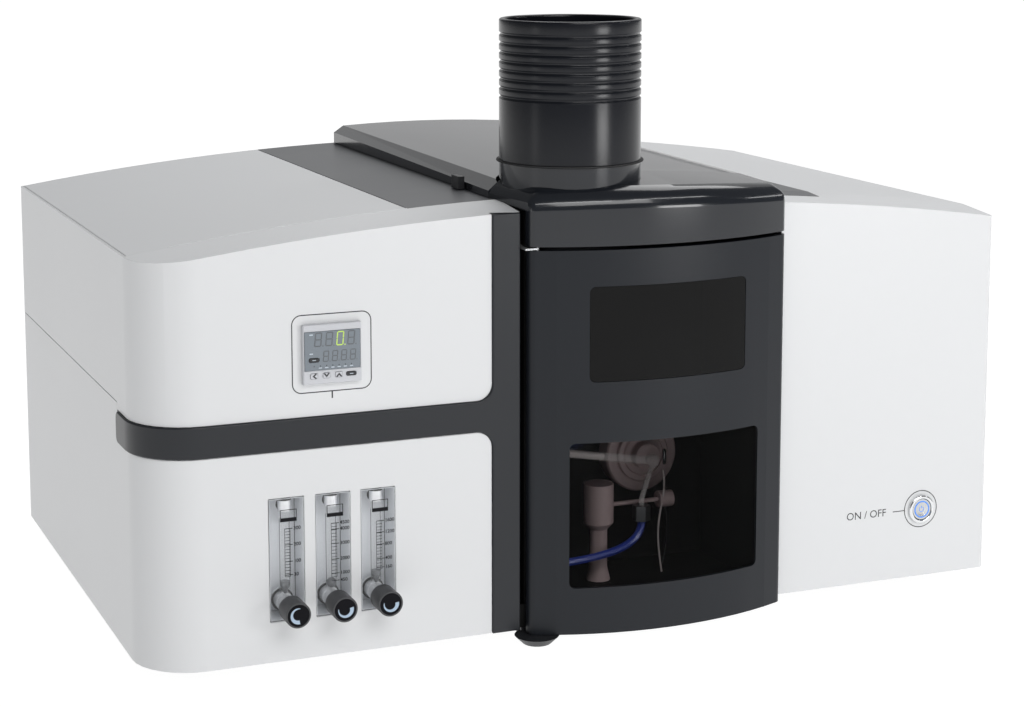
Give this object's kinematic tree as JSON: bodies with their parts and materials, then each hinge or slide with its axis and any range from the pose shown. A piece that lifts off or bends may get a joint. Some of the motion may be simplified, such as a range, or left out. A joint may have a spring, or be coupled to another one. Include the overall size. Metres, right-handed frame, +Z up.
{
  "type": "atomic fluorescence spectrometer",
  "caption": "Bench-top laboratory spectrometer with a wide crowned cabinet, bulged swing door with two windows, exhaust flue, gas flow meters, temperature controller and hinged lamp lid.",
  "frame": {"origin": "centre of the footprint on the bench surface, under the feet", "axes": "+X to the right along the front, +Y to the rear, +Z up"},
  "size_m": [0.782, 0.544, 0.5226],
  "materials": {
    "white_paint": "smooth off-white powder paint, satin",
    "grey_paint": "charcoal paint, satin",
    "dark_sheet": "black sheet metal, matt",
    "dark_gloss": "near-black, glossy",
    "dark_satin": "charcoal, satin",
    "bare_steel": "brushed",
    "bright_chrome": "polished",
    "black_rubber": "matt",
    "black_plastic": "fine satin",
    "grey_plastic": "light grey, satin",
    "display_pane": "blue-grey liquid crystal pane",
    "clear_acrylic": "clear, polished",
    "smoked_pane": "smoked, glossy",
    "clear_glass": "clear, polished",
    "hose_plastic": "dark blue, satin",
    "ceramic": "pinkish grey, matt"
  },
  "bodies": {
    "cabinet": {"base_tray": "bare_steel", "left_lower_cover": "white_paint", "left_upper_cover": "white_paint", "right_cover": "white_paint", "top_left_panel": "white_paint", "top_center_panel": "grey_paint", "trim_frame": "grey_paint", "rear_panel": "grey_paint", "left_bulkhead": "bare_steel", "right_bulkhead": "bare_steel", "furnace_shield": "dark_sheet", "front_left_foot": "black_rubber", "front_right_foot": "black_rubber", "rear_left_foot": "black_rubber", "rear_right_foot": "black_rubber", "upper_hinge_pin": "bare_steel", "lower_hinge_pin": "bare_steel", "hinge_foot": "black_plastic", "front_hood": "dark_gloss", "lid_hinge_rod": "bare_steel", "lid_catch": "black_plastic", "flue_collar": "dark_gloss", "flue_gasket": "black_rubber", "flue_pipe": "dark_satin", "flowmeter_body_1": "clear_acrylic", "flowmeter_body_2": "clear_acrylic", "flowmeter_body_3": "clear_acrylic", "flowmeter_stem_1": "bare_steel", "flowmeter_stem_2": "bare_steel", "flowmeter_stem_3": "bare_steel", "controller_housing": "grey_plastic", "controller_display": "display_pane", "power_button_bezel": "bright_chrome", "furnace_flange": "ceramic", "glass_tee": "clear_glass", "hose_nut": "bare_steel", "blue_hose": "hose_plastic", "height_post": "ceramic", "hollow_cathode_lamp": "clear_glass", "pmt_housing": "black_plastic", "power_supply": "black_plastic", "mains_inlet": "black_plastic", "gas_inlet": "bare_steel"},
    "door": {"door_shell": "dark_satin", "door_lower_window": "smoked_pane", "door_upper_window": "smoked_pane"},
    "lid": {"rear_lid": "dark_gloss"},
    "knob_1": {"flowmeter_knob_1": "black_plastic"},
    "knob_2": {"flowmeter_knob_2": "black_plastic"},
    "knob_3": {"flowmeter_knob_3": "black_plastic"},
    "float_1": {"flowmeter_float_1": "bare_steel"},
    "float_2": {"flowmeter_float_2": "bare_steel"},
    "float_3": {"flowmeter_float_3": "bare_steel"},
    "power_plunger": {"power_button": "bare_steel"},
    "key_mode": {"mode_key": "black_plastic"},
    "key_shift": {"shift_key": "black_plastic"},
    "key_down": {"down_key": "black_plastic"},
    "key_up": {"up_key": "black_plastic"},
    "key_set": {"set_key": "black_plastic"},
    "thumb_knob": {"height_knob": "ceramic"}
  },
  "joints": [
    {"name": "door_swing", "type": "hinge", "parent": "cabinet", "child": "door", "pos_m": [-0.058, -0.246, 0.172], "axis": [0, 0, -1], "range_deg": [0, 110]},
    {"name": "lid_lift", "type": "hinge", "parent": "cabinet", "child": "lid", "pos_m": [0.0545, 0.2615, 0.3786], "axis": [-1, 0, 0], "range_deg": [0, 70]},
    {"name": "knob_1_turn", "type": "hinge", "parent": "cabinet", "child": "knob_1", "pos_m": [-0.27247, -0.2575, 0.059], "axis": [0, 1, 0], "range_deg": [-1080, 0]},
    {"name": "knob_2_turn", "type": "hinge", "parent": "cabinet", "child": "knob_2", "pos_m": [-0.23347, -0.2575, 0.059], "axis": [0, 1, 0], "range_deg": [-1080, 0]},
    {"name": "knob_3_turn", "type": "hinge", "parent": "cabinet", "child": "knob_3", "pos_m": [-0.19509, -0.2575, 0.059], "axis": [0, 1, 0], "range_deg": [-1080, 0]},
    {"name": "float_1_rise", "type": "slide", "parent": "cabinet", "child": "float_1", "axis": [0, 0, 1], "range_m": [0, 0.055]},
    {"name": "float_2_rise", "type": "slide", "parent": "cabinet", "child": "float_2", "axis": [0, 0, 1], "range_m": [0, 0.055]},
    {"name": "float_3_rise", "type": "slide", "parent": "cabinet", "child": "float_3", "axis": [0, 0, 1], "range_m": [0, 0.055]},
    {"name": "power_press", "type": "slide", "parent": "cabinet", "child": "power_plunger", "axis": [0, 1, 0], "range_m": [0, 0.0025], "stiffness_N_per_m": 800},
    {"name": "mode_key_press", "type": "slide", "parent": "cabinet", "child": "key_mode", "axis": [0, 1, 0], "range_m": [0, 0.0005], "stiffness_N_per_m": 400},
    {"name": "shift_key_press", "type": "slide", "parent": "cabinet", "child": "key_shift", "axis": [0, 1, 0], "range_m": [0, 0.0005], "stiffness_N_per_m": 400},
    {"name": "down_key_press", "type": "slide", "parent": "cabinet", "child": "key_down", "axis": [0, 1, 0], "range_m": [0, 0.0005], "stiffness_N_per_m": 400},
    {"name": "up_key_press", "type": "slide", "parent": "cabinet", "child": "key_up", "axis": [0, 1, 0], "range_m": [0, 0.0005], "stiffness_N_per_m": 400},
    {"name": "set_key_press", "type": "slide", "parent": "cabinet", "child": "key_set", "axis": [0, 1, 0], "range_m": [0, 0.0005], "stiffness_N_per_m": 400},
    {"name": "height_turn", "type": "hinge", "parent": "cabinet", "child": "thumb_knob", "pos_m": [0.111, -0.143, 0.082], "axis": [1, 0, 0], "range_deg": [0, 720]}
  ]
}
